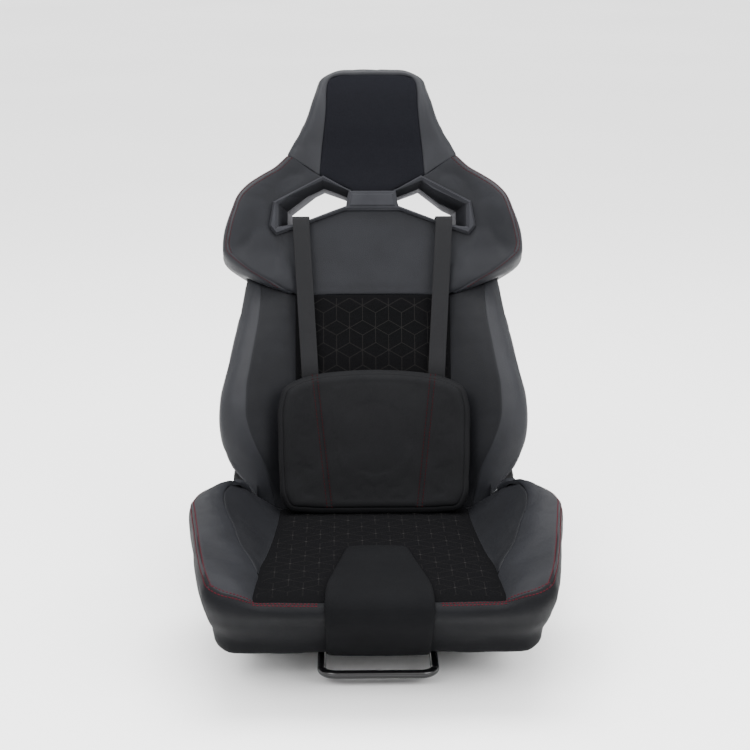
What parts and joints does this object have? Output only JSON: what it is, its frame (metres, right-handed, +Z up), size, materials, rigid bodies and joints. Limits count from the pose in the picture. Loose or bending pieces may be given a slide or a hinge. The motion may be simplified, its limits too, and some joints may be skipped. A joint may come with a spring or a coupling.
{
  "type": "reclining racing seat",
  "caption": "Reclining bucket-style racing seat with harness slots, strapped lumbar pillow, sliding rails, towel-bar release and recline lever.",
  "frame": {"origin": "centre of the rail bolt pattern, on the plane the rails stand on", "axes": "+Z up, the seat faces -Y, +X is the occupant's left"},
  "size_m": [0.5728, 0.7856, 0.8374],
  "materials": {
    "rail_black": "semi-gloss black e-coat",
    "black_plastic": "fine grain",
    "zinc_steel": "zinc plated",
    "nylon": "natural nylon",
    "pan_paint": "satin powder coat",
    "suede": "microsuede with a fine printed geometric pattern",
    "leatherette": "grained leatherette",
    "pad_leatherette": "grained leatherette",
    "recliner_steel": "machined, oiled",
    "spring_steel": "blued",
    "bar_gloss_black": "gloss black",
    "frame_paint": "satin grey",
    "shell_plastic": "grained moulding",
    "screw_black": "black oxide",
    "bezel_plastic": "satin moulding",
    "webbing": "ribbed webbing",
    "pillow_leatherette": "grained leatherette"
  },
  "bodies": {
    "lower_rails": {"lower_rail_left": "rail_black", "lower_rail_right": "rail_black", "rail_end_caps": "black_plastic"},
    "seat_base": {"upper_rail_left": "zinc_steel", "upper_rail_right": "zinc_steel", "rail_glides": "nylon", "rail_spacers": "zinc_steel", "seat_bolts": "zinc_steel", "seat_pan": "pan_paint", "cushion_centre": "suede", "cushion_bolster_left": "leatherette", "cushion_bolster_right": "leatherette", "cushion_front_apron": "leatherette", "cushion_front_pad": "pad_leatherette", "recliner_base_bracket_left": "zinc_steel", "recliner_base_bracket_right": "zinc_steel", "recliner_fixed_plate_left": "recliner_steel", "recliner_fixed_plate_right": "recliner_steel", "recliner_spring_left": "spring_steel", "recliner_spring_right": "spring_steel", "recliner_cover_left": "black_plastic", "recliner_cover_right": "black_plastic", "towel_bar_pivots": "zinc_steel"},
    "towel_bar": {"towel_bar": "bar_gloss_black", "rail_latch_left": "zinc_steel", "rail_latch_right": "zinc_steel"},
    "recline_lever": {"sync_shaft": "recliner_steel", "lever_arm": "rail_black", "lever_grip": "black_plastic"},
    "backrest": {"recliner_back_bracket_left": "zinc_steel", "recliner_back_bracket_right": "zinc_steel", "recliner_moving_plate_left": "recliner_steel", "recliner_moving_plate_right": "recliner_steel", "backrest_frame": "frame_paint", "backrest_insert": "suede", "backrest_bolster_left": "leatherette", "backrest_bolster_right": "leatherette", "backrest_upper_pad": "leatherette", "back_shell": "shell_plastic", "back_shell_screws": "screw_black", "harness_bezel_front": "bezel_plastic", "harness_bezel_rear": "bezel_plastic", "lumbar_strap_left": "webbing", "lumbar_strap_right": "webbing", "strap_buckles": "black_plastic"},
    "lumbar_pillow": {"lumbar_pillow": "pillow_leatherette"}
  },
  "joints": [
    {"name": "seat_slide", "type": "slide", "parent": "lower_rails", "child": "seat_base", "axis": [0, -1, 0], "range_m": [-0.12, 0.06]},
    {"name": "towel_bar_lift", "type": "hinge", "parent": "seat_base", "child": "towel_bar", "pos_m": [0, -0.06, 0.028], "axis": [-1, 0, 0], "range_deg": [0, 4.5], "stiffness_Nm_per_rad": 6, "springref_deg": -28.65},
    {"name": "recline_lever_lift", "type": "hinge", "parent": "seat_base", "child": "recline_lever", "pos_m": [0, 0.115, 0.15], "axis": [-1, 0, 0], "range_deg": [0, 25], "stiffness_Nm_per_rad": 4, "springref_deg": -28.65},
    {"name": "backrest_recline", "type": "hinge", "parent": "seat_base", "child": "backrest", "pos_m": [0, 0.115, 0.15], "axis": [-1, 0, 0], "range_deg": [-3, 45]},
    {"name": "pillow_height", "type": "slide", "parent": "backrest", "child": "lumbar_pillow", "axis": [0, 0.342, 0.9397], "range_m": [0, 0.06], "deforming": ["lumbar_strap_left", "lumbar_strap_right"]}
  ]
}
